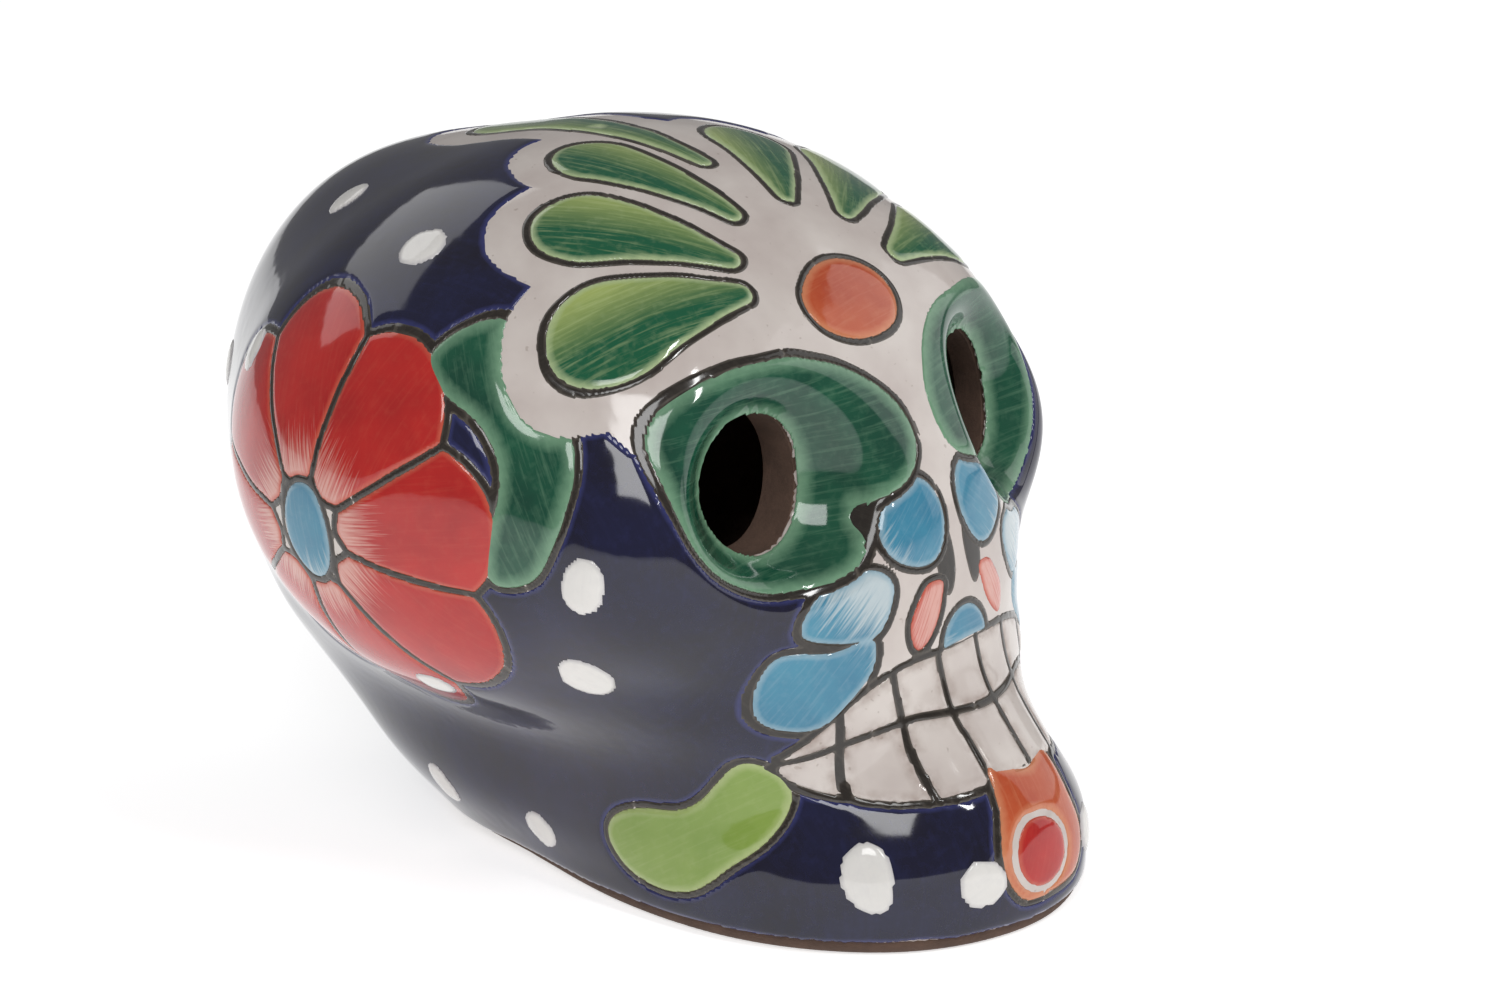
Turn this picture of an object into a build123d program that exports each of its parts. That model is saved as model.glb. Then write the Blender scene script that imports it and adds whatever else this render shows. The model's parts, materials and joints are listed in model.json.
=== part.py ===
"""Hand-painted majolica skull: a slip-cast earthenware shell under a tin glaze coat and coloured glazes.

Millimetres, +Z up, the face looks along -Y and the skull's own left is +X.  The origin is on the
table under the middle of the skull.
"""
from build123d import *
import copy
import math
import os

# ---------------------------------------------------------------- driving dimensions
CLAY_INSET = 0.5          # the white tin glaze coat is this thick over the clay
WALL = 5.0                # glazed wall, from the outside to the hollow
PAINT_RISE = 0.3          # coloured glazes stand this proud of the tin glaze
FOOT_RISE = 2.4           # the coloured glazes stop this far above the table
COAT_RISE = 2.2           # the tin glaze coat stops this far above the table
LINE_WIDTH = 1.1          # brushed dark outline round every coloured field
SMALLEST_STROKE = 1.5     # square millimetres; what is smaller is no brush stroke
SMALLEST_POOL = 3.0       # cubic millimetres; no smaller spot between the fields holds cobalt
STROKE_ENDS = (-18.5, -2.2, 14.5, 24)     # where the brush was lifted and set down again
STROKE_GAP, STROKE_LONGEST = 0.05, 300
REDRAW_LEAST, REDRAW_STEP = 16, 4.0       # points round a line's outer edge: at least, and one every 4 mm
BASE_ROUND = 2.0          # rounded lower edge of the clay
POUR_HOLE = 17.0          # radius of the hole in the foot
HOLE_AT = 2.0             # the pour hole stands this far behind the middle

SOCKET_AT = (28.5, -56.5, 73.0)   # centre of the ball that hollows each eye socket
SOCKET_RADIUS = 17.0
SOCKET_ROUND = 5.0                # rounded brim of the sockets
EYE_AT = (25.5, 71.0)             # eye opening, sideways and up
EYE_WIDE, EYE_TALL, EYE_TILT = 9.0, 10.5, 12.0

# The bulk of the skull is a row of egg-shaped lumps that run into each other:
# (sideways, along, up), (half sizes), tilt about the sideways axis, width of the soft join.
LUMPS = [
    ((0, 37, 56), (35, 40.5, 50), -18.5, 1),          # back of the cranium
    ((0, 5.5, 67.5), (62, 57.5, 46), 0, 14),          # dome and forehead
    ((0, -29.5, 44.5), (34, 32, 35.5), 0, 22),        # middle of the face
    ((0, 0, 18.5), (32.5, 52.5, 23.5), 0, 9),         # neck under the cranium
    ((0, -33.5, 8), (33.5, 43.5, 26), 0, 12),         # jaw
    ((36, -33.5, 63), (12, 12, 12), 0, 16),           # cheek bones
    ((25, -30.5, 79.5), (10, 10, 10), 0, 16),         # brows
    ((0, -35, 34), (30.5, 26, 16), 0, 8),             # rows of teeth
    ((0, -57.5, 17), (13, 13, 13), 0, 14),            # chin
]
FOOT_SOFTNESS = 6.0       # height over which the walls turn straight down to the table
SECTIONS, AROUND = 20, 40
CORE_Y, CORE_Z = 0.0, 45.0

INSIDE_SIDE, INSIDE_FACE, INSIDE_BROW = 5.0, 22.0, -50.0    # sketches start this far out, in the wall
THROUGH = 95.0                                              # and are pushed out this far

SIDE = Plane((0, 0, 0), x_dir=(0, -1, 0), z_dir=(-1, 0, 0))      # (forward, up), drawn on the right
FACE = Plane.XZ                                                  # (sideways, up), drawn on the front
BROW_AT = (0, -43.5, 93.5)                                       # middle of the forehead bead
BROW = Plane(BROW_AT, x_dir=(1, 0, 0), z_dir=(0, -0.574, 0.819))


# ---------------------------------------------------------------- shape of the head
def egg(x, y, z, centre, half, tilt):
    """Rough distance outside an egg-shaped lump, negative inside it."""
    x, y, z = x - centre[0], y - centre[1], z - centre[2]
    c, s = math.cos(math.radians(tilt)), math.sin(math.radians(tilt))
    y, z = y * c + z * s, z * c - y * s
    a, b, d = x / half[0], y / half[1], z / half[2]
    near = math.sqrt(a * a + b * b + d * d)
    slope = math.sqrt((a / half[0]) ** 2 + (b / half[1]) ** 2 + (d / half[2]) ** 2)
    return near * (near - 1) / max(slope, 1e-9)


def outside(x, y, z):
    """Rough distance outside the whole head, with the lumps joined softly."""
    z = (z + math.hypot(z, FOOT_SOFTNESS)) / 2
    total = None
    for centre, half, tilt, soft in LUMPS:
        lump = egg(abs(x), y, z, centre, half, tilt)
        if total is None:
            total = lump
        else:
            overlap = max(soft - abs(total - lump), 0) / soft
            total = min(total, lump) - overlap * overlap * soft / 4
    return total


def reach(start, step, inset, far=110.0):
    """How far from start along step the surface lies, inset millimetres under the outside."""
    low, high = 0.0, far
    for _ in range(30):
        middle = (low + high) / 2
        here = [p + middle * q for p, q in zip(start, step)]
        if outside(*here) + inset < 0:
            low = middle
        else:
            high = middle
    return low


def crown(inset):
    """The highest point of the head: its y and z."""
    spots = [(reach((0, y, CORE_Z), (0, 0, 1), inset), y) for y in [i / 4 for i in range(-40, 81)]]
    rise, y = max(spots)
    return y, CORE_Z + rise


def level_section(y_middle, z, inset):
    """One closed horizontal outline of the head."""
    half = []
    for i in range(AROUND // 2 + 1):
        turn = math.radians(90 - 360 * i / AROUND)
        step = (math.cos(turn), math.sin(turn), 0)
        r = reach((0, y_middle, z), step, inset)
        half.append((r * step[0], y_middle + r * step[1]))
    ring = half + [(-x, y) for x, y in reversed(half[1:-1])]
    steps = [i / AROUND for i in range(AROUND + 1)]
    with BuildSketch(Plane.XY.offset(z)) as section:
        with BuildLine():
            add(Edge.make_spline([(x, y, 0) for x, y in ring], periodic=True, parameters=steps))
        make_face()
    return section.sketch.face()


def plain_head(inset, floor=0.0):
    """The head without its eye sockets, as stacked horizontal outlines up to the crown."""
    y_top, z_top = crown(inset)
    sections = []
    for i in range(SECTIONS):
        share = i / SECTIONS
        z = floor + (z_top - floor) * math.sin(math.pi / 2 * share ** 1.25)
        sections.append(level_section(CORE_Y + (y_top - CORE_Y) * share, z, inset))
    with BuildPart() as head:
        loft(sections + [Vertex(0, y_top, z_top)])
    return head.part


def socketed_head(inset, floor=0.0):
    """The head with both eye sockets hollowed and their brims rounded."""
    with BuildPart() as head:
        add(plain_head(inset, floor))
        whole = head.edges()
        with Locations(*[(side * SOCKET_AT[0], SOCKET_AT[1], SOCKET_AT[2]) for side in (-1, 1)]):
            Sphere(SOCKET_RADIUS + inset, mode=Mode.SUBTRACT)
        if inset < SOCKET_ROUND - 1:
            fillet(head.edges() - whole, SOCKET_ROUND - inset)
    return head.part


# ---------------------------------------------------------------- drawing on the head
def soft_outline(*points):
    """A closed brush-drawn outline through the points."""
    with BuildSketch() as field:
        with BuildLine():
            Spline(*points, periodic=True)
        make_face()
    return field.sketch


def teardrop(near, near_radius, far, far_radius):
    """A petal that widens from its near end to its far end."""
    with BuildSketch() as petal:
        for spot, radius in ((near, near_radius), (far, far_radius)):
            with Locations(spot):
                Circle(radius)
        make_hull()
    return petal.sketch


def redrawn(ring):
    """A closed outline, drawn again as one plain spline where it only runs beside other curves."""
    if all(edge.geom_type != GeomType.OFFSET for edge in ring.edges()):
        return ring
    steps = REDRAW_LEAST + round(ring.length / REDRAW_STEP)
    return Wire([Edge.make_spline([ring @ (i / steps) for i in range(steps)], periodic=True)])


def redrawn_face(field):
    """The face with all its outlines redrawn."""
    return Face(redrawn(field.outer_wire()), [redrawn(ring) for ring in field.inner_wires()])


def outlined(fields, width):
    """The fields with a brushed line of this width all round them."""
    with BuildSketch() as drawn:
        for field in fields:
            add(field)
            grown = offset(field, amount=width, mode=Mode.PRIVATE)
            add([redrawn_face(face) for face in grown.faces()])
    return drawn.sketch


def push(plane, sketch):
    """A sketch laid on the plane and pushed out through the wall of the head."""
    with BuildPart() as column:
        extrude(plane * sketch, amount=THROUGH, dir=plane.z_dir)
    return column.part


def on_head(outer, inner, plane, sketches, blocked=()):
    """A thin layer of glaze between two head surfaces, inside the sketches and clear of blocked."""
    patches = []
    for field in [face for sketch in sketches for face in sketch.faces()]:
        column = push(plane, Sketch([field]))
        for other in blocked:
            column = column - other
        core = column & copy.deepcopy(outer)
        if core.volume > 0:
            patches += (core - copy.deepcopy(inner)).solids()
    return Part(Compound(patches).wrapped)


def domed_dot(spot, half_long, half_wide, rise, turn, inner):
    """A raised dot of slip on the right of the head, at (forward, up), longer along turn degrees."""
    forward, up = spot
    out = reach((0, -forward, up), (-1, 0, 0), 0)
    centre = Vector(-out, -forward, up)
    step = 0.5
    slope = [outside(*(centre + Vector(*move))) - outside(*(centre - Vector(*move)))
             for move in ((step, 0, 0), (0, step, 0), (0, 0, step))]
    face_on = Plane(centre, x_dir=Vector(0, -1, 0), z_dir=Vector(*slope).normalized())
    ball = (half_wide ** 2 + rise ** 2) / (2 * rise)
    stretch = (half_long - half_wide) / 2
    along = Vector(math.cos(math.radians(turn)), math.sin(math.radians(turn)))
    middle = face_on.offset(rise - ball)
    with BuildPart() as dot:
        for shift in (-stretch, 0, stretch):
            with Locations(middle.from_local_coords(along * shift)):
                Sphere(ball)
        add(copy.deepcopy(inner), mode=Mode.SUBTRACT)
    return dot.part


def mirrored(part):
    """The same layer on the other side of the face."""
    with BuildPart() as other:
        mirror(part, about=Plane.YZ, mode=Mode.ADD)
    return other.part


# ---------------------------------------------------------------- motifs, right side of the head
side = SIDE.offset(INSIDE_SIDE)
face = FACE.offset(INSIDE_FACE)
brow = BROW.offset(INSIDE_BROW)

FLOWER_AT = (-13.0, 64.0)
PETALS, PETAL_REACH, PETAL_NECK = 8, 21.0, 9.5
PETAL_LOBE, EYE_OF_FLOWER = 12.5, (5.2, 7.6)
FLOWER_TURN = 10             # degrees that the first petal is turned up from straight ahead
PARTING = 48                 # length of the lines that part the petals


def from_flower(distance, turn):
    """A point this far from the middle of the flower, at turn degrees."""
    return (FLOWER_AT[0] + distance * math.cos(math.radians(turn)),
            FLOWER_AT[1] + distance * math.sin(math.radians(turn)))


def whole_petals():
    """The petals of the flower before they are parted, and their turns."""
    turns = [360 / PETALS * i + FLOWER_TURN for i in range(PETALS)]
    return [(teardrop(from_flower(PETAL_NECK, turn), 2, from_flower(PETAL_REACH, turn), PETAL_LOBE), turn)
            for turn in turns]


def flower_petals():
    """The eight red petals, parted by brushed lines, round the blue middle."""
    petals = []
    for whole, turn in whole_petals():
        with BuildSketch() as petal:
            add(whole)
            for edge in (-1, 1):
                line = turn + edge * 180 / PETALS
                with Locations(Location(from_flower(PARTING / 2, line), line)):
                    Rectangle(PARTING, LINE_WIDTH, mode=Mode.SUBTRACT)
            pieces = petal.sketch.faces().sort_by_distance(Vector(*from_flower(PETAL_REACH, turn)))
        petals.append(Sketch([pieces[0]]))
    with BuildSketch() as middle:
        with Locations(FLOWER_AT):
            Ellipse(EYE_OF_FLOWER[0] + LINE_WIDTH, EYE_OF_FLOWER[1] + LINE_WIDTH)
    return [petal - middle.sketch for petal in petals]


def flower_middle():
    with BuildSketch() as middle:
        with Locations(FLOWER_AT):
            Ellipse(*EYE_OF_FLOWER)
    return middle.sketch


side_leaf = soft_outline((6.5, 93), (11, 96), (17, 95.5), (25.5, 87), (30.5, 76), (29, 67),
                         (25, 61), (19, 60), (19, 66), (20.5, 75), (15, 84))
jaw_leaf = soft_outline((46, 28.5), (49.5, 24.5), (47.5, 18), (40, 11), (34, 7), (27, 6.5),
                        (20.5, 9), (18.5, 13.5), (22, 17.5), (32, 19.5), (40, 26))

eye_ring = soft_outline((-40.5, 83.5), (-34, 87.5), (-24, 89), (-14, 87.5), (-5.5, 82), (-2.8, 75),
                        (-6, 69.5), (-13.5, 66), (-17, 59.5), (-21.5, 57), (-29, 56.5), (-37, 60),
                        (-42, 67.5), (-43, 75))
cheek_drops = [
    soft_outline((-6.5, 69), (-3, 67), (-2.2, 61.5), (-5.6, 56.5), (-10.5, 57), (-14.2, 61),
                 (-13, 64.5)),
    soft_outline((-16.5, 57.5), (-13.5, 55), (-14.5, 51), (-17, 47.5), (-22, 47.5), (-27, 49.5),
                 (-26, 53.5), (-21.5, 57)),
    soft_outline((-17, 46), (-18, 41.5), (-21.5, 37.8), (-26, 34.5), (-30, 35.5), (-31.5, 41.5),
                 (-29.5, 46.5), (-23, 46.3)),
]
cheek_drops[1] = cheek_drops[1] - outlined([eye_ring], LINE_WIDTH)
cheek_drops[0] = cheek_drops[0] - outlined([eye_ring], LINE_WIDTH)
nose_lobe = soft_outline((-4.2, 52.5), (-5.5, 49), (-7.6, 45.5), (-10, 43.8), (-11.3, 47),
                         (-9.5, 51.2), (-6.5, 53.5))

FOREHEAD_PETALS = {          # near end, its radius, far end, its radius; (sideways, up the forehead)
    "right": [((-18, 7.5), 2.0, (-36, 13.5), 8.6), ((-14.5, 13.5), 1.8, (-26, 31), 7.4),
              ((-7, 20.5), 1.6, (-11.5, 42.5), 6.2)],
    "left": [((17, 5), 1.8, (34, 9), 6.8), ((14, 14.5), 1.6, (31, 26.5), 7.4),
             ((5.5, 20.5), 1.6, (15.5, 35.5), 6.8)],
    "crown": [((0, 33), 1.4, (1, 66), 5.0)],
}
BEAD = (9.4, 6.9)            # half sizes of the forehead bead
PANEL_MARGIN = 4.5           # white left showing round the forehead petals
NOSE_DISC_AT, CHIN_DOT_AT, DISC_RADIUS = (0, 42.8), (-2, 12.5), 5.2
BRIDGE = [(-17, 42), (-17, 56), (-3, 74), (3, 74), (17, 56), (17, 42)]     # bare glaze round the nose
PANEL_MIDDLE = [(-36, 12), (-44, 5), (-43, -2), (-36, -4), (-30, -12), (-12, -30), (12, -30), (30, -12),
                (36, -4), (43, -2), (44, 5), (34, 9), (31, 26), (15, 36), (1, 66), (-11, 42), (-26, 31)]

TOOTH_GAPS_MIDDLE, TOOTH_GAPS_TALL = 33, 30
TOOTH_GAPS = (-22.5, -14.5, -6.5, 2.0, 10.5, 18.5)
TEETH_TOP = [(-29, 28.5), (-23, 36.5), (-12.7, 42), (0, 43), (12.7, 42), (23, 36.5), (27.2, 28.5)]
TEETH_BITE = [(-29, 28.5), (-23.5, 31), (-14.5, 33.8), (0, 33.2), (14.5, 33.8), (23.5, 31), (27.2, 28.5)]
TEETH_UNDER = [(-29, 28.5), (-24, 23.5), (-16, 22.4), (0, 24), (16, 22.4), (24, 23.5), (27.2, 28.5)]


def tooth_row(upper, lower):
    """The teeth between two curved lines, parted by the tooth gaps."""
    with BuildSketch() as gum_to_bite:
        with BuildLine():
            Spline(*upper)
            Spline(*reversed(lower))
        make_face()
        offset(amount=-LINE_WIDTH / 2, kind=Kind.INTERSECTION, mode=Mode.REPLACE)
    with BuildSketch() as row:
        add([redrawn_face(whole) for whole in gum_to_bite.sketch.faces()])
        with Locations(*[(x, TOOTH_GAPS_MIDDLE) for x in TOOTH_GAPS]):
            Rectangle(LINE_WIDTH, TOOTH_GAPS_TALL, mode=Mode.SUBTRACT)
    return row.sketch


def forehead_petals(which):
    return [teardrop(*petal) for petal in FOREHEAD_PETALS[which]]


def forehead_panel():
    """The white ground round the forehead petals, scalloped, down to the brows and the nose."""
    petals = [petal for which in FOREHEAD_PETALS for petal in forehead_petals(which)]
    with BuildSketch() as panel:
        add(outlined(petals, PANEL_MARGIN))
        Polygon(*PANEL_MIDDLE, align=None)
    return panel.sketch


# ---------------------------------------------------------------- the clay shell
def eye_openings():
    """Both eye openings, as columns through the back of the sockets."""
    with BuildSketch() as openings:
        for side_of_face in (-1, 1):
            with Locations(Location((side_of_face * EYE_AT[0], EYE_AT[1]), side_of_face * EYE_TILT)):
                Ellipse(EYE_WIDE, EYE_TALL)
    return push(face, openings.sketch)


def below(height):
    """All the space under a level."""
    with BuildPart() as slab:
        with Locations((0, 0, height)):
            Box(220, 220, 40, align=(Align.CENTER, Align.CENTER, Align.MAX))
    return slab.part


coat_top = socketed_head(0)
paint_top = socketed_head(-PAINT_RISE)
clay_top = socketed_head(CLAY_INSET)
hollow = socketed_head(WALL, floor=WALL)
eyes = eye_openings()

with BuildPart() as clay_shell:
    add(copy.deepcopy(clay_top))
    add(hollow, mode=Mode.SUBTRACT)
    add(eyes, mode=Mode.SUBTRACT)
    with Locations((0, HOLE_AT, 0)):
        Cylinder(POUR_HOLE, 3 * WALL, mode=Mode.SUBTRACT)
    rim = clay_shell.edges().group_by(Axis.Z)[0].sort_by(SortBy.LENGTH)[-1]
    fillet(rim, BASE_ROUND)

with BuildPart() as tin_glaze_coat:
    add(copy.deepcopy(coat_top))
    add(copy.deepcopy(clay_top), mode=Mode.SUBTRACT)
    add(below(COAT_RISE), mode=Mode.SUBTRACT)
    add(eyes, mode=Mode.SUBTRACT)


# ---------------------------------------------------------------- the coloured glazes
def painted(plane, sketches, blocked=()):
    return on_head(paint_top, coat_top, plane, sketches, blocked)


petals = flower_petals()
middle = flower_middle()
with BuildSketch() as bead_sketch:
    Ellipse(*BEAD)
with BuildSketch() as nose_disc_sketch:
    with Locations(NOSE_DISC_AT):
        Circle(DISC_RADIUS)
        Rectangle(4 * DISC_RADIUS, 2 * DISC_RADIUS, align=(Align.CENTER, Align.MAX), mode=Mode.SUBTRACT)
with BuildSketch() as chin_dot_sketch:
    with Locations(CHIN_DOT_AT):
        Circle(DISC_RADIUS)
chin_patch_sketch = soft_outline((-6.5, 25), (-8.6, 18), (-9.5, 11), (-7, 6.5), (0, 5.5), (7, 6.5),
                                 (9.5, 11), (8.6, 18), (6.5, 25), (0, 24.2))
upper_row = tooth_row(TEETH_TOP, TEETH_BITE)
lower_row = tooth_row(TEETH_BITE, TEETH_UNDER)


def both_sides(sketches):
    """Face sketches and their mirror images."""
    return list(sketches) + [mirror(sketch, about=Plane.YZ) for sketch in sketches]


face_fields = both_sides([eye_ring, *cheek_drops, nose_lobe])
face_fields += [nose_disc_sketch.sketch, chin_patch_sketch, upper_row, lower_row]
brow_fields = [petal for which in FOREHEAD_PETALS for petal in forehead_petals(which)]
brow_fields.append(bead_sketch.sketch)
side_fields = petals + [middle, side_leaf, jaw_leaf]

with BuildSketch() as face_ground:
    add(outlined(face_fields, LINE_WIDTH))
    Polygon(*BRIDGE, align=None)
face_column = push(face, face_ground.sketch)
brow_column = push(brow, outlined([forehead_panel()], LINE_WIDTH))
with BuildSketch() as side_ground:
    add(outlined([whole for whole, turn in whole_petals()] + [side_leaf, jaw_leaf], LINE_WIDTH))
    with Locations(FLOWER_AT):
        Circle(PETAL_REACH)
side_column = push(side, side_ground.sketch)
other_side_column = mirrored(side_column)

with BuildPart() as cobalt_ground:
    add(copy.deepcopy(paint_top))
    for column in (below(FOOT_RISE), eyes, face_column, brow_column, side_column, other_side_column):
        add(column, mode=Mode.SUBTRACT)
    add(copy.deepcopy(coat_top), mode=Mode.SUBTRACT)

pools = [pool for pool in cobalt_ground.part.solids() if pool.volume > SMALLEST_POOL]

PIECES = {
    "clay_shell": clay_shell.part,
    "tin_glaze_coat": tin_glaze_coat.part,
    "cobalt_ground": Part(Compound(pools).wrapped),
}


def keep_pair(name, part):
    """A layer and its mirror image, named for the two sides of the head."""
    PIECES["right_" + name] = part
    PIECES["left_" + name] = mirrored(part)


keep_pair("flower_petals", painted(side, petals))
keep_pair("flower_middle", painted(side, [middle]))
keep_pair("side_leaf", painted(side, [side_leaf], [brow_column]))
keep_pair("jaw_leaf", painted(side, [jaw_leaf]))
keep_pair("eye_ring", painted(face, [eye_ring], [eyes]))
keep_pair("cheek_drops", painted(face, cheek_drops))
keep_pair("nose_lobe", painted(face, [nose_lobe]))
PIECES["nose_disc"] = painted(face, [nose_disc_sketch.sketch])
PIECES["upper_teeth"] = painted(face, [upper_row])
PIECES["lower_teeth"] = painted(face, [lower_row])
PIECES["chin_dot"] = painted(face, [chin_dot_sketch.sketch])
chin_dot_column = push(face, outlined([chin_dot_sketch.sketch], LINE_WIDTH))
PIECES["chin_patch"] = painted(face, [chin_patch_sketch], [chin_dot_column])
for which in FOREHEAD_PETALS:
    PIECES[which + "_forehead_petals"] = painted(brow, forehead_petals(which))
PIECES["forehead_bead"] = painted(brow, [bead_sketch.sketch])


def line_work(plane, groups, blocked):
    """The brushed dark outlines round the groups of fields drawn on one plane."""
    strokes = []
    everything = [field for group in groups for field in group]
    for group in groups:
        lines = outlined(group, LINE_WIDTH)
        for drawn in everything + strokes:
            lines = lines - drawn
        with BuildSketch() as lengths:
            add(lines)
            with Locations(*[(x, 0) for x in STROKE_ENDS]):
                Rectangle(STROKE_GAP, STROKE_LONGEST, mode=Mode.SUBTRACT)
        strokes.append(Sketch([s for s in lengths.sketch.faces() if s.area > SMALLEST_STROKE]))
    return painted(plane, strokes, blocked)


right_eye = [eye_ring, *cheek_drops]
left_eye = [mirror(field, about=Plane.YZ) for field in right_eye]
nose = both_sides([nose_lobe]) + [nose_disc_sketch.sketch]
face_groups = [[upper_row, lower_row], right_eye, left_eye, nose, [chin_patch_sketch]]
keep_pair("line_work", line_work(side, [side_fields], [brow_column, face_column]))
PIECES["face_line_work"] = line_work(face, face_groups, [eyes])
PIECES["forehead_line_work"] = line_work(brow, [brow_fields], [face_column])

# Raised dots of white slip: (forward, up), half length, half width, turn.
DOTS = [((-38, 103), 4.8, 4.0, 20), ((-6.5, 103), 4.8, 4.2, 20), ((-36, 85), 4.6, 3.4, 60),
        ((33, 61), 4.8, 3.8, 70), ((26.5, 44), 5.5, 5.1, 60), ((-2, 38), 4.4, 3.4, 80),
        ((-21, 11), 4.8, 3.6, -50), ((2.5, 9.5), 4.6, 3.4, -40),
        ((61.5, 13), 4.9, 4.6, 0), ((74, 10.5), 4.1, 3.8, 0), ((-63, 74), 4.8, 4.2, 0),
        ((-66, 48), 4.8, 4.2, 0)]
DOT_RISE = 0.9

with BuildPart() as dots:
    for spot, half_long, half_wide, turn in DOTS:
        add(domed_dot(spot, half_long, half_wide, DOT_RISE, turn, paint_top))
    add(below(FOOT_RISE), mode=Mode.SUBTRACT)
keep_pair("slip_dots", dots.part)

os.makedirs("parts", exist_ok=True)
for name, piece in PIECES.items():
    piece.label = name
    export_step(piece, f"parts/{name}.step", write_pcurves=False)
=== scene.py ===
import json
import math

import bpy
import numpy as np
from mathutils import Matrix, Vector, noise
from mathutils.bvhtree import BVHTree
from mathutils.kdtree import KDTree


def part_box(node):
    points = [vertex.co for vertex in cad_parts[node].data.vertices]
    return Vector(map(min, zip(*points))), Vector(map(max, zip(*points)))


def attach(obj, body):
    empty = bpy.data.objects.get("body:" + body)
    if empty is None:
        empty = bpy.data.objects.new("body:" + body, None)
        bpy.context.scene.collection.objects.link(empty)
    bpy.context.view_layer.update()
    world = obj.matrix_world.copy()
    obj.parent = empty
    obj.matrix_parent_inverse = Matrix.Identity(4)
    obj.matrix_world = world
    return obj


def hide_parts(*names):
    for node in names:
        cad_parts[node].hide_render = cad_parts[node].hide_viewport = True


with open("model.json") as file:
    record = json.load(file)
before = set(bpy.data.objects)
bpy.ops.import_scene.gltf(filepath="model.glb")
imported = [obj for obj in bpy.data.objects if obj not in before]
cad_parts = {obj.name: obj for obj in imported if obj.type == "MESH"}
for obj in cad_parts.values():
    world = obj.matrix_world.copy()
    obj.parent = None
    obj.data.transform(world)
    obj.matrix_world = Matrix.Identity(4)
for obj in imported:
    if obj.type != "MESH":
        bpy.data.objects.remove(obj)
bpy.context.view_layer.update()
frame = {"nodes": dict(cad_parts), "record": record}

MM = 0.001

NODES = frame["nodes"]
SLOT_OF = {part["node"]: part["material_slot"] for part in frame["record"]["subparts"]}

# ---------------------------------------------------------------- sizes
GRID = 210      # squares along each side of the ray cube
CORE = Vector((0, 0, 0.045))           # every ray that feels the surface points at this
FAR, NEAR = 0.2, 0.012                 # how far from the core such a ray starts and stops
FACET_BEND = 0.1 * MM                  # how far a felt point may move off its flat facet
FILL_ROUNDS, SMOOTH_ROUNDS = 14, 4
SMOOTHING = 0.5                        # the share of the way to its neighbours' mean in one round
SAME_POINT = 2e-7                      # CAD points on one spot of a grid this fine are joined
DIRECTION_GRID = 1e7                   # and so are directions, with this many steps to a unit

SHARP_FOLD = 0.92                      # an edge is an outline where its faces' normals agree less
OUTLINE_STEP = 0.1 * MM
FIELD_MARGIN = 3 * MM                  # points this far outside a node's box still get a distance
REACH_OUT, REACH_IN = 1.6 * MM, 0.8 * MM    # how far off the surface a node is looked for
LEAST_SHARE = 0.02                     # a cut keeps this far, as a share, from an edge's ends
WOBBLE = 0.35 * MM                     # how far a hand-drawn edge wanders
WOBBLE_LENGTH = 7 * MM
WOBBLE_SEED = 7                        # left alone, the noise differs in each run
FIELD_SAMPLE, FEWEST_POINTS = 3000, 4  # points used for a field's direction, and the least it needs

COAT_THICK = 0.4 * MM
COAT_DROP, COAT_SOFT = 0.35 * MM, 0.5 * MM       # the white coat thins towards its edge
TILE_SINK = 0.12 * MM                            # how deep a tile of glaze sinks into the coat
LEAST_RISE = 0.02 * MM                           # a tile's rim stands this far over the coat
POOL_RISE, POOL_SOFT = 0.24 * MM, 0.5 * MM
LINE_RISE, LINE_SOFT = 0.12 * MM, 0.15 * MM
DOT_RISE, DOT_SOFT = 0.75 * MM, 3 * MM
# the dark nose marks: partly dark paint, partly painted shade of the missing nose recess
NOSTRIL_RISE, NOSTRIL_SOFT = 0.05 * MM, 0.4 * MM
NOSTRIL_APART, NOSTRIL_WIDE = 3.2 * MM, 2.0 * MM
NOSTRIL_UP, NOSTRIL_TALL = 3.0 * MM, 6.0 * MM

STREAK_ALONG, STREAK_ACROSS, STREAK_SCALE = 0.06, 0.9, 1.6    # stretched noise, per millimetre
FEATHER_SPREAD, FEATHER_SHARE = 22.0, 0.85

FLOOR_HALF = 3.0
LAMP_AIM = (0, 0, 0.05)
SENSOR = 36                            # millimetres
CLIP_START = 0.01


# ---------------------------------------------------------------- reading the CAD nodes
def cad_mesh(name):
    """Points, triangles and the smooth normals at the triangles' corners of a CAD node."""
    mesh = NODES[name].data
    mesh.calc_loop_triangles()
    points = np.empty(len(mesh.vertices) * 3)
    mesh.vertices.foreach_get("co", points)
    triangles = np.empty(len(mesh.loop_triangles) * 3, np.int64)
    mesh.loop_triangles.foreach_get("vertices", triangles)
    loops = np.empty(len(mesh.loop_triangles) * 3, np.int64)
    mesh.loop_triangles.foreach_get("loops", loops)
    normals = np.empty(len(mesh.loops) * 3)
    mesh.corner_normals.foreach_get("vector", normals)
    normals = normals.reshape(-1, 3)[loops].reshape(-1, 3, 3)
    return points.reshape(-1, 3), triangles.reshape(-1, 3), normals


def unit(v):
    """Vectors of length one."""
    return v / np.maximum(np.linalg.norm(v, axis=-1, keepdims=True), 1e-12)


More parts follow.
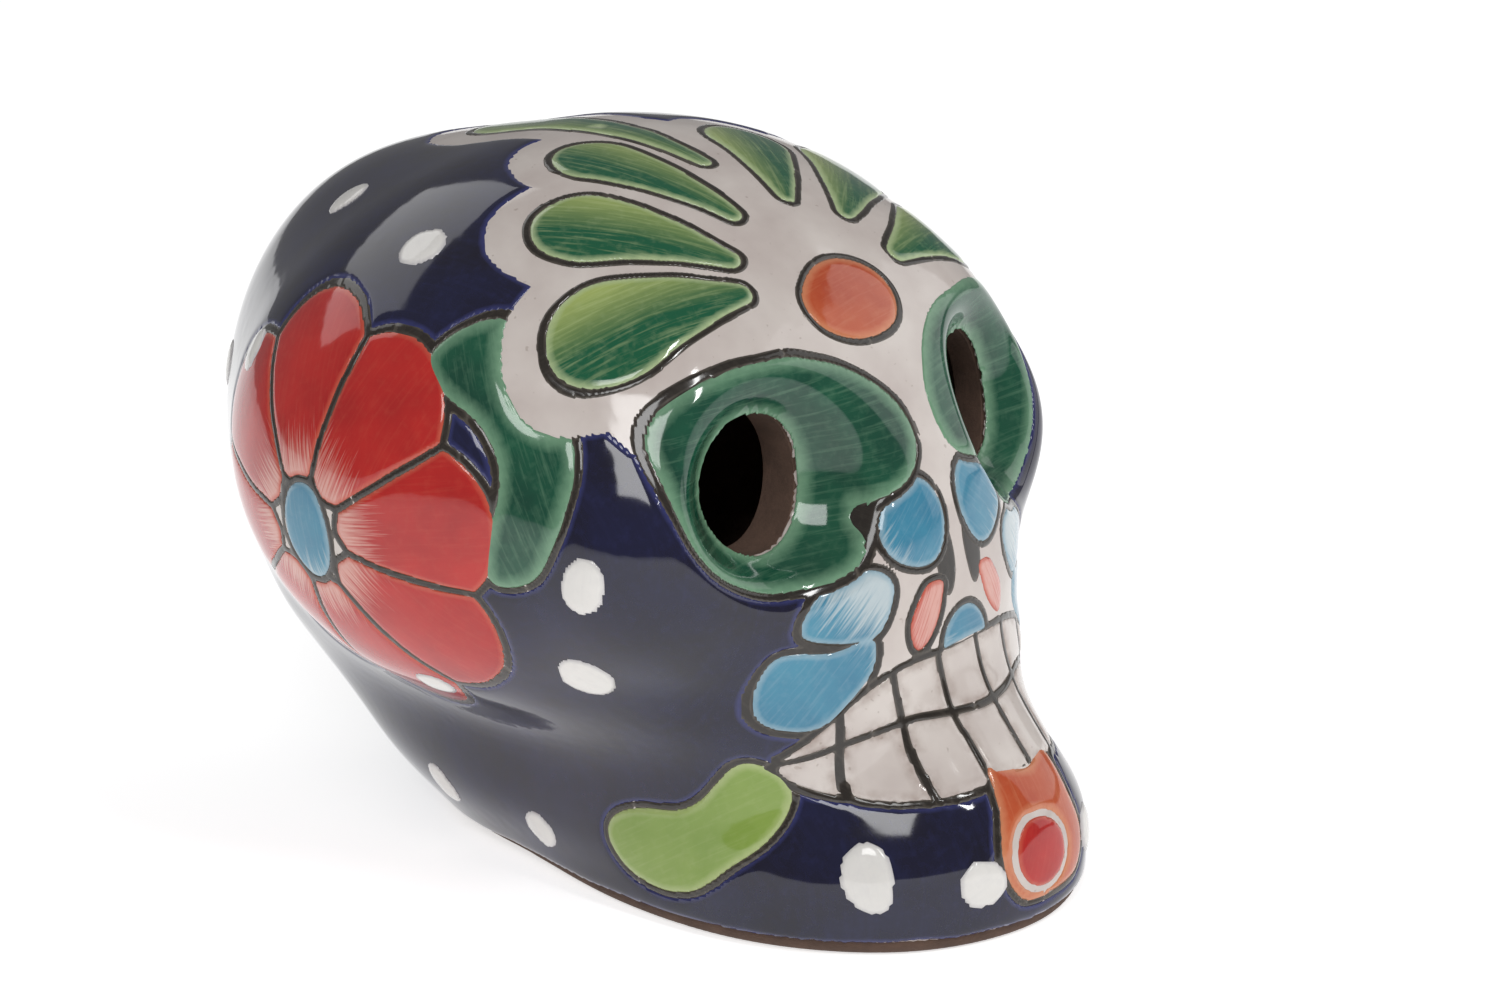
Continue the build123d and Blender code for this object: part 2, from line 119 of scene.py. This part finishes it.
def outline_points(name):
    """Points along a node's sharp edges, which are the outlines of its glaze fields."""
    points, triangles, _ = cad_mesh(name)
    spots = np.round(points / SAME_POINT).astype(np.int64)
    _, merged = np.unique(spots, axis=0, return_inverse=True)
    merged = merged.reshape(-1)
    corners = points[triangles]
    facing = unit(np.cross(corners[:, 1] - corners[:, 0], corners[:, 2] - corners[:, 0]))
    place = np.zeros((merged.max() + 1, 3))
    place[merged] = points
    ids = merged[triangles]
    edges = np.concatenate([ids[:, [0, 1]], ids[:, [1, 2]], ids[:, [2, 0]]])
    owner = np.tile(np.arange(len(ids)), 3)
    edges.sort(axis=1)
    order = np.lexsort((edges[:, 1], edges[:, 0]))
    edges, owner = edges[order], owner[order]
    twin = (edges[:-1] == edges[1:]).all(axis=1)
    fold = (facing[owner[:-1]] * facing[owner[1:]]).sum(axis=1) < SHARP_FOLD
    keep = edges[:-1][twin & fold]
    start, end = place[keep[:, 0]], place[keep[:, 1]]
    count = np.maximum(np.ceil(np.linalg.norm(end - start, axis=1) / OUTLINE_STEP), 1).astype(int)
    which = np.repeat(np.arange(len(keep)), count)
    share = (np.arange(len(which)) - np.repeat(np.cumsum(count) - count, count)) / count[which]
    return start[which] + (end - start)[which] * share[:, None]


def tree_of(points):
    """A search tree that finds the nearest of these points."""
    tree = KDTree(len(points))
    for i, p in enumerate(points):
        tree.insert(p, i)
    tree.balance()
    return tree


# ---------------------------------------------------------------- the fine surface of the head
def ray_cube(n):
    """Directions on a cube's six sides and the quads between them, joined along the cube's edges."""
    turn = np.tan(np.linspace(-math.pi / 4, math.pi / 4, n + 1))
    u, v = np.meshgrid(turn, turn, indexing="ij")
    one = np.ones_like(u)
    sides = [(u, v, one), (v, u, -one), (one, u, v), (-one, v, u), (v, one, u), (u, -one, v)]
    spots = np.concatenate([np.stack(s, -1).reshape(-1, 3) for s in sides])
    i, j = np.meshgrid(np.arange(n), np.arange(n), indexing="ij")
    first = (i * (n + 1) + j).reshape(-1)
    quad = np.stack([first, first + n + 1, first + n + 2, first + 1], -1)
    quads = np.concatenate([quad + k * (n + 1) ** 2 for k in range(6)])
    grid = np.round(spots * DIRECTION_GRID).astype(np.int64)
    _, index, back = np.unique(grid, axis=0, return_index=True, return_inverse=True)
    return unit(spots[index]), back.reshape(-1)[quads]


def feel(directions):
    """Where rays from outside meet the white coat, smoothed over its facets, and which of them hit it."""
    points, triangles, normals = cad_mesh("tin_glaze_coat")
    tree = BVHTree.FromPolygons(points.tolist(), triangles.tolist())
    hit = np.zeros(len(directions), bool)
    found = np.zeros_like(directions)
    face = np.zeros(len(directions), np.int64)
    for k, d in enumerate(directions.tolist()):
        d = Vector(d)
        place, _, index, _ = tree.ray_cast(CORE + d * FAR, -d, FAR - NEAR)
        if place is not None:
            hit[k], found[k], face[k] = True, place, index
    a, b, c = (points[triangles[face, i]] for i in range(3))
    area = np.cross(b - a, c - a)
    size = np.maximum((area ** 2).sum(-1), 1e-30)
    parts = [np.cross(c - b, found - b), np.cross(a - c, found - c), np.cross(b - a, found - a)]
    weight = np.stack([(part * area).sum(-1) for part in parts], -1) / size[:, None]
    weight = np.clip(weight, 0, 1)
    weight /= np.maximum(weight.sum(-1, keepdims=True), 1e-9)
    bent = np.zeros_like(found)
    for i, corner in enumerate((a, b, c)):
        n = normals[face, i]
        bent += weight[:, i:i + 1] * (found - ((found - corner) * n).sum(-1, keepdims=True) * n)
    moved = np.linalg.norm(bent - found, axis=1, keepdims=True)
    bent = np.where(moved < FACET_BEND, bent, found)
    return np.where(hit[:, None], bent, 0), hit


def neighbours(quads):
    """Each edge of the quads once, as the numbers of its two ends."""
    edges = np.concatenate([quads[:, [0, 1]], quads[:, [1, 2]], quads[:, [2, 3]], quads[:, [3, 0]]])
    return np.unique(np.sort(edges, axis=1), axis=0)


def average(values, edges, weight):
    """The weighted mean of each point's neighbours, and the sum of their weights."""
    total = np.zeros_like(values)
    number = np.zeros(len(values))
    for a, b in ((0, 1), (1, 0)):
        w = weight[edges[:, b]]
        np.add.at(total, edges[:, a], values[edges[:, b]] * w[:, None])
        np.add.at(number, edges[:, a], w)
    return total / np.maximum(number, 1e-9)[:, None], number


def head_surface():
    """Fine points, quads, which points are known, and which of those lie on the coat itself."""
    directions, quads = ray_cube(GRID)
    points, hit = feel(directions)
    edges = neighbours(quads)
    radius = np.linalg.norm(points - np.array(CORE), axis=1)
    known = hit.copy()
    for _ in range(FILL_ROUNDS):
        near, number = average(radius[:, None], edges, known.astype(float))
        fresh = ~known & (number > 0)
        radius[fresh] = near[fresh, 0]
        known |= fresh
    points = np.array(CORE) + directions * radius[:, None]
    for _ in range(SMOOTH_ROUNDS):
        near, _ = average(points, edges, known.astype(float))
        points = np.where(known[:, None], points + SMOOTHING * (near - points), points)
    return points, quads, known, hit


def point_normals(points, triangles):
    """Normals at the points, from the triangles round each."""
    corners = points[triangles]
    facing = np.cross(corners[:, 1] - corners[:, 0], corners[:, 2] - corners[:, 0])
    total = np.zeros_like(points)
    for i in range(3):
        np.add.at(total, triangles[:, i], facing)
    return unit(total)


def wander(points):
    """A gentle shift of each point, so that outlines drawn by it look brushed."""
    noise.seed_set(WOBBLE_SEED)
    return np.array([noise.noise_vector(Vector(p) / WOBBLE_LENGTH) for p in points.tolist()]) * WOBBLE


# ---------------------------------------------------------------- cutting fields out of the surface
def depth_inside(name, points, normals):
    """Signed distance to a node's outline along the head, positive inside; far outside is -1."""
    low, high = (np.array(v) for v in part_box(name))
    near = ((points > low - FIELD_MARGIN) & (points < high + FIELD_MARGIN)).all(axis=1)
    tree = tree_of(outline_points(name))
    cad_points, triangles, _ = cad_mesh(name)
    solid = BVHTree.FromPolygons(cad_points.tolist(), triangles.tolist())
    depth = np.full(len(points), -1.0)
    for k in np.nonzero(near)[0]:
        p, n = Vector(points[k]), Vector(normals[k])
        _, _, gap = tree.find(p)
        if solid.ray_cast(p + n * REACH_OUT, -n, REACH_OUT + REACH_IN)[0] is None:
            gap = -gap
        depth[k] = gap
    return depth


def cut(triangles, depth):
    """The part of the surface where depth is positive: triangles over old points and over new points
    that lie on edges, each given by its two ends and its place between them."""
    inside = depth > 0
    number = inside[triangles].sum(axis=1)
    whole = triangles[number == 3]
    fresh, table, out = [], {}, []

    def crossing(a, b):
        key = (a, b) if a < b else (b, a)
        if key not in table:
            table[key] = len(fresh)
            fresh.append(key)
        return -1 - table[key]

    for triangle in triangles[(number == 1) | (number == 2)].tolist():
        flags = [bool(inside[t]) for t in triangle]
        alone = flags.index(True) if sum(flags) == 1 else flags.index(False)
        a, b, c = (triangle[(alone + i) % 3] for i in range(3))
        ab, ac = crossing(a, b), crossing(a, c)
        if sum(flags) == 1:
            out.append((a, ab, ac))
        else:
            out.extend([(ab, b, c), (ab, c, ac)])
    fresh = np.array(fresh, np.int64).reshape(-1, 2)
    da, db = depth[fresh[:, 0]], depth[fresh[:, 1]]
    share = da / (da - db)
    cut_triangles = np.array(out, np.int64).reshape(-1, 3)
    cut_triangles = np.where(cut_triangles < 0, len(depth) - 1 - cut_triangles, cut_triangles)
    return np.concatenate([whole, cut_triangles]), fresh, np.clip(share, LEAST_SHARE, 1 - LEAST_SHARE)


class Patch:
    """A field of glaze: its points on the head, their normals, triangles and depth inside the outline."""

    def __init__(self, surface, depth):
        triangles, fresh, share = cut(surface["triangles"], depth)

        def mix(values):
            part = share[:, None] if values.ndim > 1 else share
            start, end = values[fresh[:, 0]], values[fresh[:, 1]]
            return np.concatenate([values, start + (end - start) * part])

        used, triangles = np.unique(triangles, return_inverse=True)
        self.triangles = triangles.reshape(-1, 3)
        self.points = mix(surface["points"])[used]
        self.normals = unit(mix(surface["normals"])[used])
        self.depth = np.maximum(mix(depth)[used], 0)
        self.depth[used >= len(depth)] = 0


def rim_edges(triangles):
    """The directed edges that only one triangle has."""
    edges = np.concatenate([triangles[:, [0, 1]], triangles[:, [1, 2]], triangles[:, [2, 0]]])
    seen = {(a, b) for a, b in edges.tolist()}
    return [(a, b) for a, b in edges.tolist() if (b, a) not in seen]


def closed_tile(name, patch, rise, sink, attributes=()):
    """A closed tile: its top stands rise over the head, its back lies sink under it."""
    top = patch.points + patch.normals * rise[:, None]
    back = patch.points - patch.normals * sink
    count = len(top)
    rim = rim_edges(patch.triangles)
    wall = [(b, a, a + count) for a, b in rim] + [(b, a + count, b + count) for a, b in rim]
    faces = np.concatenate([patch.triangles, patch.triangles[:, ::-1] + count, np.array(wall).reshape(-1, 3)])
    mesh = bpy.data.meshes.new(name)
    mesh.from_pydata(np.concatenate([top, back]).tolist(), [], faces.tolist())
    mesh.polygons.foreach_set("use_smooth", np.ones(len(mesh.polygons), bool))
    for label, values in attributes:
        layer = mesh.attributes.new(label, "FLOAT", "POINT")
        layer.data.foreach_set("value", np.concatenate([values, values]).astype(np.float32))
    mesh.update()
    piece = bpy.data.objects.new(name, mesh)
    bpy.context.scene.collection.objects.link(piece)
    return piece


# ---------------------------------------------------------------- materials
def node(tree, kind, **values):
    """A new shader node, with each value put in the input, or else the property, of that name."""
    made = tree.nodes.new(kind)
    for key, value in values.items():
        if key in made.inputs:
            made.inputs[key].default_value = value
        else:
            setattr(made, key, value)
    return made


def wire(tree, start, end):
    tree.links.new(start, end)


def reading(tree, label):
    """A piece's own measure at each point: edge, along, across or away, in millimetres."""
    return node(tree, "ShaderNodeAttribute", attribute_name=label).outputs["Fac"]


def scaled(tree, value, low, high):
    """The value's place between low and high, from 0 to 1."""
    made = node(tree, "ShaderNodeMapRange")
    made.inputs["From Min"].default_value = low
    made.inputs["From Max"].default_value = high
    wire(tree, value, made.inputs["Value"])
    return made.outputs["Result"]


def math_node(tree, operation, a, b):
    """A sum or product of two sockets or numbers."""
    made = node(tree, "ShaderNodeMath", operation=operation)
    for socket, value in zip(made.inputs, (a, b)):
        if isinstance(value, (int, float)):
            socket.default_value = value
        else:
            wire(tree, value, socket)
    return made.outputs[0]


def swing(tree, value, size):
    """Noise from 0 to 1 as a shift either way."""
    return math_node(tree, "MULTIPLY", math_node(tree, "SUBTRACT", value, 0.5), size)


def mixed(tree, share, a, b):
    """Colour a where share is 0, turning to colour b where it is 1."""
    made = node(tree, "ShaderNodeMix", data_type="RGBA")
    wire(tree, share, made.inputs["Factor"])
    for socket, value in ((made.inputs[6], a), (made.inputs[7], b)):
        if isinstance(value, tuple):
            socket.default_value = (*value, 1)
        else:
            wire(tree, value, socket)
    return made.outputs[2]


def grain(tree, scale, detail=3.0, rough=0.55):
    """Even noise with about scale spots to a metre."""
    place = tree.nodes.new("ShaderNodeTexCoord").outputs["Object"]
    made = node(tree, "ShaderNodeTexNoise", Scale=scale, Detail=detail, Roughness=rough)
    wire(tree, place, made.inputs["Vector"])
    return made.outputs["Fac"]


def strokes(tree, fine=1.0):
    """Streaks that run along a field's brush marks: 'along' and 'across' are millimetres."""
    joined = tree.nodes.new("ShaderNodeCombineXYZ")
    wire(tree, math_node(tree, "MULTIPLY", reading(tree, "along"), STREAK_ALONG), joined.inputs["X"])
    wire(tree, math_node(tree, "MULTIPLY", reading(tree, "across"), STREAK_ACROSS * fine), joined.inputs["Y"])
    made = node(tree, "ShaderNodeTexNoise", Scale=STREAK_SCALE, Detail=4.0, Roughness=0.6)
    wire(tree, joined.outputs[0], made.inputs["Vector"])
    return made.outputs["Fac"]


def glossy(tree, colour, roughness, ripple=0.02):
    """Fired glaze: smooth, with a faint ripple."""
    shader = tree.nodes["Principled BSDF"]
    shader.inputs["Roughness"].default_value = roughness
    shader.inputs["IOR"].default_value = 1.55
    wire(tree, colour, shader.inputs["Base Color"])
    bump = node(tree, "ShaderNodeBump", Strength=ripple, Distance=0.001)
    wire(tree, grain(tree, 160.0, 2.0), bump.inputs["Height"])
    wire(tree, bump.outputs["Normal"], shader.inputs["Normal"])
    return shader


def glaze(name, thin, thick, deep, edge_width, streak, roughness=0.07, gradient=None, feather=None):
    """Coloured glaze: the thin colour at its edge, deep where it pooled, streaked along the brush.

    gradient is the low colour, the high colour and the millimetres across between which they change;
    feather is what feathered takes after the body colour."""
    material = bpy.data.materials.new(name)
    material.use_nodes = True
    tree = material.node_tree
    edge = scaled(tree, reading(tree, "edge"), 0.0, edge_width)
    patchy = scaled(tree, grain(tree, 90.0, 3.0), 0.35, 0.7)
    body = mixed(tree, patchy, thick, deep)
    if gradient:
        low, high, from_mm, to_mm = gradient
        across = scaled(tree, reading(tree, "across"), from_mm, to_mm)
        run = math_node(tree, "ADD", across, swing(tree, strokes(tree), streak * 1.6))
        body = mixed(tree, run, low, high)
    if feather:
        body = feathered(tree, body, *feather)
    brush = scaled(tree, strokes(tree), 0.5, 0.75)
    body = mixed(tree, math_node(tree, "MULTIPLY", brush, streak), body, thin)
    wet = math_node(tree, "ADD", edge, swing(tree, grain(tree, 700.0), 0.5))
    colour = mixed(tree, wet, thin, body)
    glossy(tree, colour, roughness)
    return material


def feathered(tree, body, pale, measure, reach, fine):
    """The body colour with pale hair-thin strokes that come in between the two ends of reach."""
    spread = math_node(tree, "ADD", reading(tree, measure), swing(tree, strokes(tree, fine), FEATHER_SPREAD))
    fade = scaled(tree, spread, *reach)
    return mixed(tree, math_node(tree, "MULTIPLY", fade, FEATHER_SHARE), body, pale)


def white_coat(name):
    """White tin glaze: warm, with faint pooling, pin specks and brown smudges along its edge."""
    material = bpy.data.materials.new(name)
    material.use_nodes = True
    tree = material.node_tree
    cloudy = scaled(tree, grain(tree, 60.0, 4.0), 0.35, 0.7)
    colour = mixed(tree, cloudy, (0.66, 0.60, 0.56), (0.52, 0.45, 0.42))
    speck = scaled(tree, grain(tree, 900.0, 1.0), 0.72, 0.78)
    colour = mixed(tree, math_node(tree, "MULTIPLY", speck, 0.35), colour, (0.22, 0.15, 0.11))
    smudge = math_node(tree, "MULTIPLY", scaled(tree, reading(tree, "edge"), 1.8, 0.0),
                       scaled(tree, grain(tree, 330.0, 3.0), 0.38, 0.72))
    colour = mixed(tree, math_node(tree, "MULTIPLY", smudge, 0.75), colour, (0.25, 0.17, 0.135))
    glossy(tree, colour, 0.08)
    return material


def clay_in_painted_shade(name):
    """Unglazed earthenware, matt and granular, coloured dark brown: painted shade for the hollow inside seen
    through the eye openings.
    """
    material = bpy.data.materials.new(name)
    material.use_nodes = True
    tree = material.node_tree
    cloudy = scaled(tree, grain(tree, 220.0, 6.0, 0.7), 0.3, 0.7)
    # dark brown is painted shade of the hollow inside, not the clay's own buff
    colour = mixed(tree, cloudy, (0.070, 0.040, 0.028), (0.115, 0.066, 0.046))
    shader = tree.nodes["Principled BSDF"]
    shader.inputs["Roughness"].default_value = 0.88
    wire(tree, colour, shader.inputs["Base Color"])
    bump = node(tree, "ShaderNodeBump", Strength=0.35, Distance=0.0004)
    wire(tree, grain(tree, 1500.0, 4.0, 0.7), bump.inputs["Height"])
    wire(tree, bump.outputs["Normal"], shader.inputs["Normal"])
    return material


MATERIALS = {
    "tin_glaze": white_coat("tin_glaze"),
    # the bisque is coloured dark as painted shade
    "bisque": clay_in_painted_shade("bisque"),
    "cobalt_glaze": glaze("cobalt_glaze", thin=(0.035, 0.04, 0.15), thick=(0.008, 0.007, 0.020),
                          deep=(0.010, 0.011, 0.042), edge_width=0.8, streak=0.10),
    "red_glaze": glaze("red_glaze", thin=(0.55, 0.10, 0.06), thick=(0.50, 0.022, 0.018),
                       deep=(0.38, 0.016, 0.015), edge_width=0.8, streak=0.2,
                       feather=((0.72, 0.42, 0.36), "away", (15.0, 9.0), 2.2)),
    "blue_glaze": glaze("blue_glaze", thin=(0.28, 0.42, 0.50), thick=(0.045, 0.20, 0.32),
                        deep=(0.06, 0.26, 0.38), edge_width=1.0, streak=0.3,
                        feather=((0.55, 0.61, 0.62), "along", (-4.5, -10.5), 1.6)),
    "green_glaze": glaze("green_glaze", thin=(0.17, 0.32, 0.20), thick=(0.010, 0.085, 0.045),
                         deep=(0.006, 0.045, 0.028), edge_width=2.4, streak=0.35),
    "leaf_glaze": glaze("leaf_glaze", thin=(0.45, 0.55, 0.30), thick=(0.06, 0.25, 0.12),
                        deep=(0.02, 0.12, 0.07), edge_width=1.2, streak=0.35,
                        gradient=((0.008, 0.10, 0.045), (0.38, 0.46, 0.14), -1.5, 8.0)),
    "lime_glaze": glaze("lime_glaze", thin=(0.40, 0.48, 0.20), thick=(0.25, 0.36, 0.075),
                        deep=(0.20, 0.31, 0.05), edge_width=1.4, streak=0.25),
    "orange_glaze": glaze("orange_glaze", thin=(0.62, 0.24, 0.12), thick=(0.52, 0.10, 0.035),
                          deep=(0.42, 0.06, 0.02), edge_width=1.4, streak=0.3),
    "dark_line": glaze("dark_line", thin=(0.10, 0.085, 0.07), thick=(0.020, 0.016, 0.013),
                       deep=(0.028, 0.022, 0.018), edge_width=0.35, streak=0.2, roughness=0.12),
    "white_slip": glaze("white_slip", thin=(0.50, 0.48, 0.50), thick=(0.78, 0.76, 0.73),
                        deep=(0.72, 0.70, 0.67), edge_width=0.9, streak=0.1),
}

# ---------------------------------------------------------------- the pieces
def pillow(depth, height, soft):
    """Relief of a pool of glaze: it swells from its edge and levels off."""
    return height * (1 - np.exp(-depth / soft)) + LEAST_RISE


def dome(depth, height, wide):
    """Relief of a slip dot: a quarter round up from its edge."""
    share = np.clip(depth / wide, 0, 1)
    return height * np.sqrt(1 - (1 - share) ** 2) + LEAST_RISE


def rise_of(slot, depth):
    """Relief of a field of that glaze at each depth inside its outline."""
    if slot == "dark_line":
        return pillow(depth, LINE_RISE, LINE_SOFT)
    if slot == "white_slip":
        return dome(depth, DOT_RISE, DOT_SOFT)
    return pillow(depth, POOL_RISE, POOL_SOFT)


def separate(patch):
    """The number of the separate field that each point of a patch belongs to."""
    edges = np.concatenate([patch.triangles[:, [0, 1]], patch.triangles[:, [1, 2]]])
    label = np.arange(len(patch.points))
    while True:
        low = np.minimum(label[edges[:, 0]], label[edges[:, 1]])
        fresh = label.copy()
        np.minimum.at(fresh, edges[:, 0], low)
        np.minimum.at(fresh, edges[:, 1], low)
        fresh = fresh[fresh]
        if (fresh == label).all():
            return np.unique(label, return_inverse=True)[1].reshape(-1)
        label = fresh


def brush_frame(patch, hub):
    """Millimetres along and across each field: along runs away from the hub, across runs upwards."""
    along, across = np.zeros(len(patch.points)), np.zeros(len(patch.points))
    field = separate(patch)
    for i in range(field.max() + 1):
        mine = field == i
        middle = patch.points[mine].mean(axis=0)
        spread = patch.points[mine] - middle
        if len(spread) < FEWEST_POINTS:
            continue
        _, _, ways = np.linalg.svd(spread[::1 + len(spread) // FIELD_SAMPLE], full_matrices=False)
        out = ways[0] if ways[0] @ (middle - hub) > 0 else -ways[0]
        up = ways[1] if ways[1][2] > 0 else -ways[1]
        along[mine], across[mine] = spread @ out / MM, spread @ up / MM
    return along, across


def hub_of(name):
    """The point that a node's brush marks run away from."""
    mine = name.split("_")[0] + "_"
    if "flower" in name or "side_leaf" in name:
        centre = mine + "flower_middle"
    elif "forehead" in name:
        centre = "forehead_bead"
    else:
        centre = "nose_disc"
    low, high = (np.array(v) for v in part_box(centre if centre in NODES else name))
    return (low + high) / 2


def put(piece, slot):
    """Give a piece its glaze and its body."""
    piece.data.materials.append(MATERIALS[slot])
    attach(piece, "root")
    return piece


def lay_glaze(name, surface):
    """The tile of glaze that stands for a CAD field."""
    depth = depth_inside(name, surface["drawn"], surface["normals"])
    patch = Patch(surface, depth)
    hub = hub_of(name)
    along, across = brush_frame(patch, hub)
    away = np.linalg.norm(patch.points - hub, axis=1)
    measures = (("edge", patch.depth / MM), ("along", along), ("across", across), ("away", away / MM))
    tile = closed_tile(name + "_glaze", patch, rise_of(SLOT_OF[name], patch.depth), TILE_SINK, measures)
    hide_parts(name)
    return put(tile, SLOT_OF[name])


def nose_paint_and_shade(surface):
    """Two dark nostril marks on the bridge, just above the red lobes: partly the dark paint the nose has,
    partly painted shade in place of the nose recess, which the head here lacks.
    """
    _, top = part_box("right_nose_lobe")
    sideways = (np.abs(surface["drawn"][:, 0]) - NOSTRIL_APART) / NOSTRIL_WIDE
    upwards = (surface["drawn"][:, 2] - top[2] - NOSTRIL_UP) / NOSTRIL_TALL
    depth = (1 - np.hypot(sideways, upwards)) * NOSTRIL_WIDE
    depth[surface["points"][:, 1] > top[1] + NOSTRIL_TALL] = -1
    patch = Patch(surface, depth)
    along, across = brush_frame(patch, hub_of("nose_disc"))
    measures = (("edge", patch.depth / MM), ("along", along), ("across", across), ("away", 0 * along))
    rise = pillow(patch.depth, NOSTRIL_RISE, NOSTRIL_SOFT)
    tile = closed_tile("nose_paint_and_shade_glaze", patch, rise, TILE_SINK, measures)
    return put(tile, "dark_line")


def coat_depth(points, known, hit):
    """How far each point lies inside the white coat: from the eye openings and from its lower edge."""
    tree = tree_of(outline_points("tin_glaze_coat"))
    return np.array([tree.find(Vector(p))[2] * (1 if on else -1) if k else -1
                     for p, on, k in zip(points.tolist(), hit, known)])


def lay_coat(surface, depth):
    """The white coat, whose edges round down to the clay."""
    patch = Patch(surface, depth)
    drop = -COAT_DROP * np.exp(-patch.depth / COAT_SOFT)
    white_coat_tile = closed_tile("white_coat", patch, drop, COAT_THICK, (("edge", patch.depth / MM),))
    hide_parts("tin_glaze_coat")
    put(white_coat_tile, "tin_glaze")


points, quads, known, hit = head_surface()
triangles = np.concatenate([quads[:, [0, 1, 2]], quads[:, [0, 2, 3]]])
triangles = triangles[known[triangles].all(axis=1)]
normals = point_normals(points, triangles)
surface = {"points": points, "triangles": triangles, "normals": normals, "drawn": points + wander(points)}
lay_coat(surface, coat_depth(points, known, hit))
# dark paint and painted shade in the nose
nose_paint_and_shade(surface)
for name in sorted(NODES):
    if name not in ("clay_shell", "tin_glaze_coat"):
        lay_glaze(name, surface)

shell = NODES["clay_shell"]
shell.data.materials.clear()
shell.data.materials.append(MATERIALS["bisque"])


# ---------------------------------------------------------------- floor, light and camera
def floor():
    """A plain pale floor that glows a little, so that it fades into the white surround."""
    mesh = bpy.data.meshes.new("floor")
    corners = [(x * FLOOR_HALF, y * FLOOR_HALF, 0) for x, y in ((-1, -1), (1, -1), (1, 1), (-1, 1))]
    mesh.from_pydata(corners, [], [(0, 1, 2, 3)])
    ground = bpy.data.objects.new("floor", mesh)
    bpy.context.scene.collection.objects.link(ground)
    paint = bpy.data.materials.new("floor")
    paint.use_nodes = True
    shader = paint.node_tree.nodes["Principled BSDF"]
    shader.inputs["Base Color"].default_value = (0.86, 0.86, 0.86, 1)
    shader.inputs["Roughness"].default_value = 0.9
    shader.inputs["Emission Color"].default_value = (1, 1, 1, 1)
    shader.inputs["Emission Strength"].default_value = 0.62
    mesh.materials.append(paint)


def lamp(name, place, size, watts):
    """A white soft box aimed at the middle of the head."""
    data = bpy.data.lights.new(name, "AREA")
    data.shape = "RECTANGLE"
    data.size, data.size_y = size
    data.energy = watts
    light = bpy.data.objects.new(name, data)
    light.location = place
    light.rotation_euler = (Vector(LAMP_AIM) - Vector(place)).to_track_quat("-Z", "Y").to_euler()
    bpy.context.scene.collection.objects.link(light)


def camera(azimuth, elevation, roll, distance, lens, aim, centre):
    """A camera at that angle; centre is where aim stands in the view, in view widths from its middle."""
    a, e, r = (math.radians(v) for v in (azimuth, elevation, roll))
    back = Vector((math.sin(a) * math.cos(e), -math.cos(a) * math.cos(e), math.sin(e)))
    side = Vector((math.cos(a), math.sin(a), 0))
    up = back.cross(side)
    right = side * math.cos(r) + up * math.sin(r)
    over = -side * math.sin(r) + up * math.cos(r)
    reach = lens / SENSOR
    look = (-back + right * (-centre[0] / reach) + over * (-centre[1] / reach)).normalized()
    right = look.cross(over).normalized()
    over = right.cross(look)
    data = bpy.data.cameras.new("camera")
    data.lens, data.sensor_width = lens, SENSOR
    data.clip_start = CLIP_START
    eye = bpy.data.objects.new("camera", data)
    place = Vector(aim) + back * distance
    turn = Matrix((right, over, -look)).transposed()
    eye.matrix_world = Matrix.Translation(place) @ turn.to_4x4()
    bpy.context.scene.collection.objects.link(eye)
    bpy.context.scene.camera = eye


def room(strength):
    """Even white light from all round."""
    world = bpy.data.worlds.new("room")
    world.use_nodes = True
    background = world.node_tree.nodes["Background"]
    background.inputs["Color"].default_value = (1, 1, 1, 1)
    background.inputs["Strength"].default_value = strength
    bpy.context.scene.world = world


floor()
camera(azimuth=-47.9, elevation=17.9, roll=-3.36, distance=0.65, lens=98.2,
       aim=(0, 0.0065, 0.055), centre=(-0.0905, 0.0096))
lamp("key", place=(-0.9, -0.55, 1.0), size=(0.5, 0.5), watts=5.2)
lamp("strip", place=(-0.15, -0.75, 0.9), size=(0.08, 0.45), watts=3.2)
lamp("fill", place=(0.9, -0.6, 0.5), size=(0.9, 0.9), watts=2.4)
lamp("back", place=(0.1, 1.0, 0.9), size=(1.0, 0.6), watts=2.2)
room(strength=0.22)
bpy.context.scene.view_settings.view_transform = "Standard"
